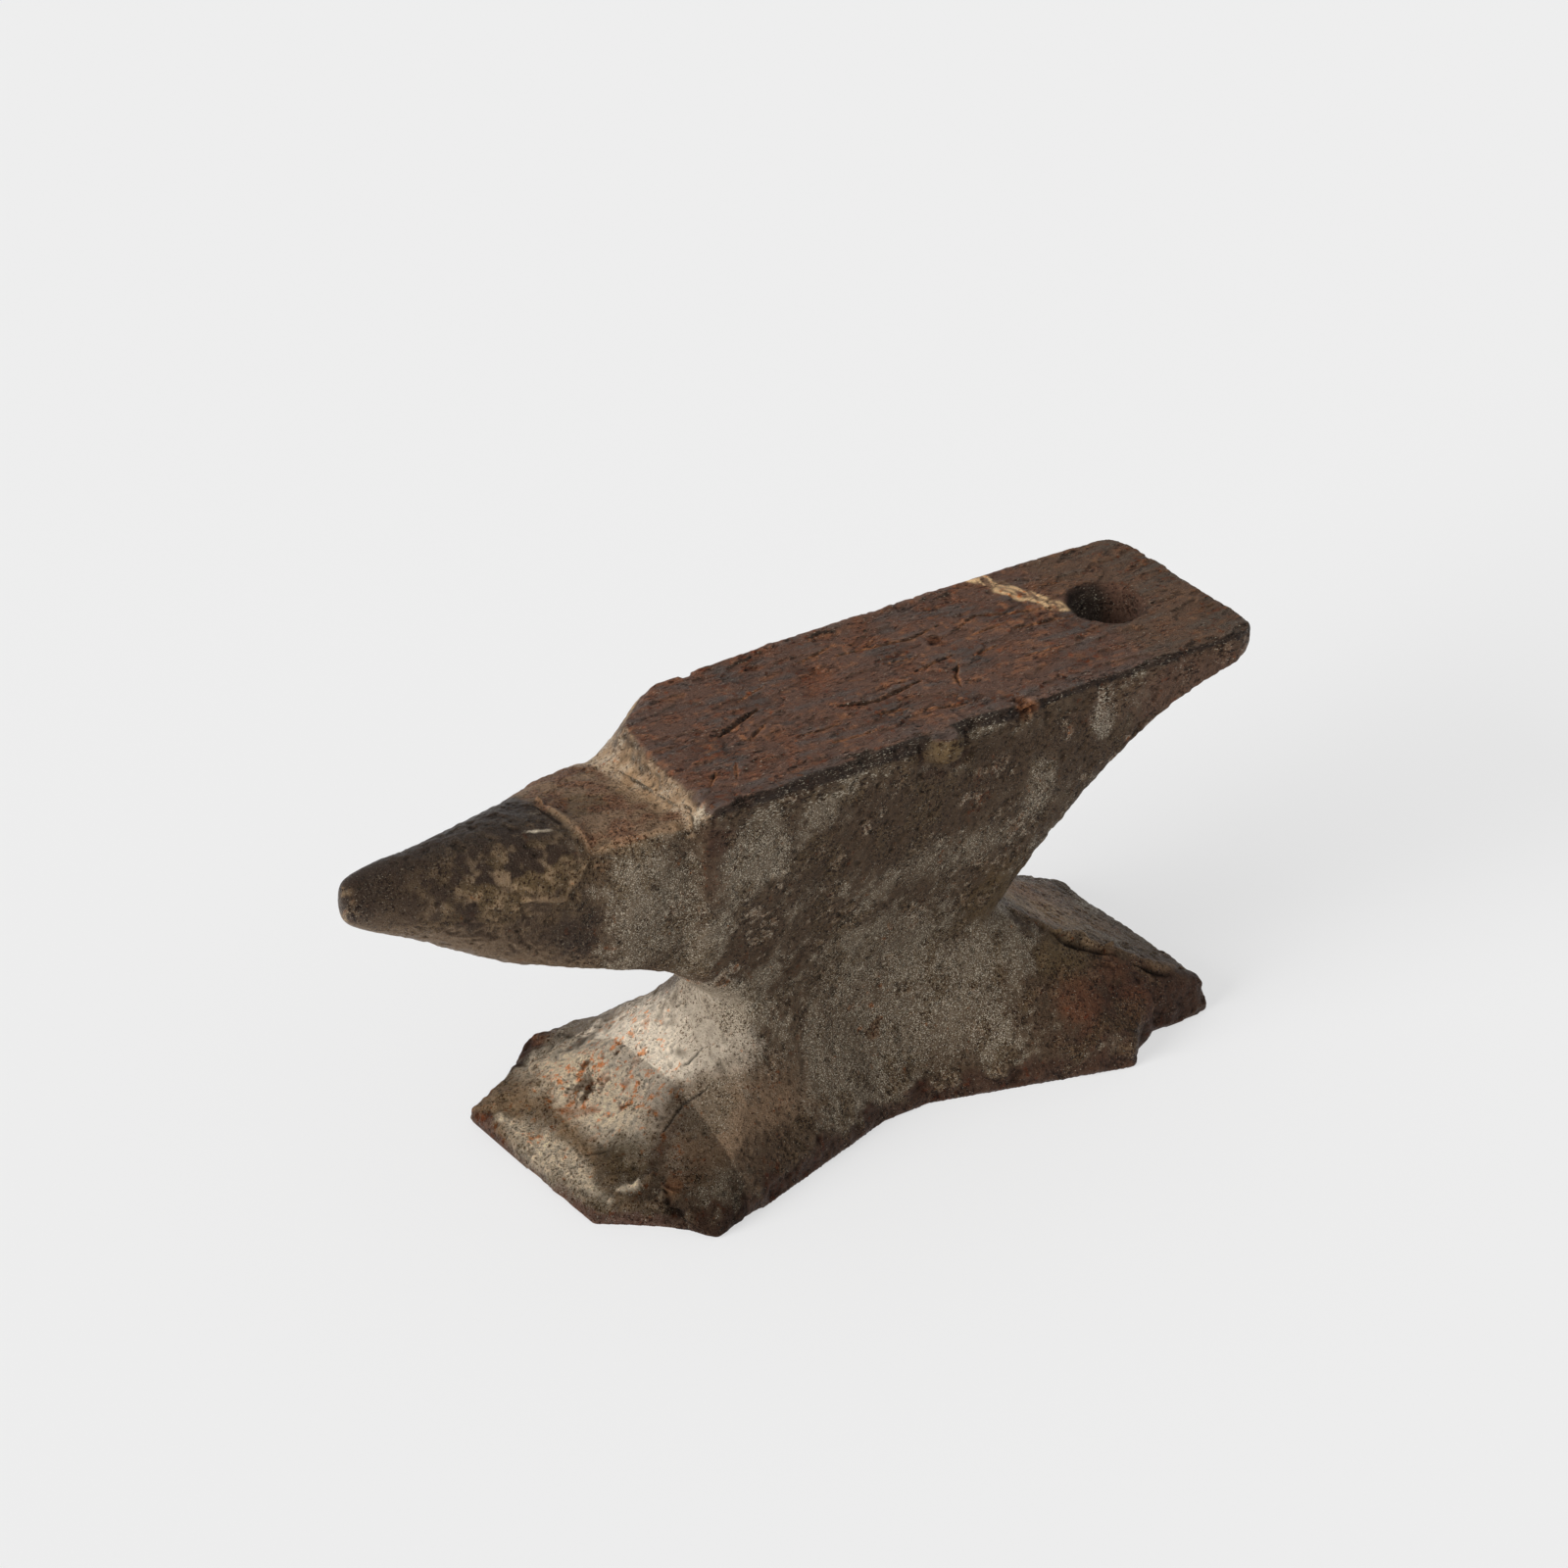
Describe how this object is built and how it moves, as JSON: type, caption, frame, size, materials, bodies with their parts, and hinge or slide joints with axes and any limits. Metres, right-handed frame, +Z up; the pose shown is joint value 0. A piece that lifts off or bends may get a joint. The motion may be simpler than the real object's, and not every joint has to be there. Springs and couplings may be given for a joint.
{
  "type": "blacksmith anvil",
  "caption": "Small worn forged anvil with a round beak, a table, a flat steel face, a tapering heel with a through hole, a narrow waist and a spread base.",
  "frame": {"origin": "middle of the base's underside, on the floor", "axes": "+X along the face towards the heel, +Y to the left with the beak pointing at -X, +Z up out of the face"},
  "size_m": [0.3155, 0.124, 0.135],
  "materials": {
    "wrought_iron": "pitted, brown rust patina over grey iron",
    "face_steel": "dark brown oxide, worn and cut"
  },
  "bodies": {
    "root": {"core": "wrought_iron", "front_left_foot": "wrought_iron", "front_right_foot": "wrought_iron", "rear_left_foot": "wrought_iron", "rear_right_foot": "wrought_iron", "beak": "wrought_iron", "heel": "wrought_iron", "face_plate_front": "face_steel", "face_plate_middle": "face_steel", "face_plate_heel": "face_steel"}
  },
  "joints": []
}
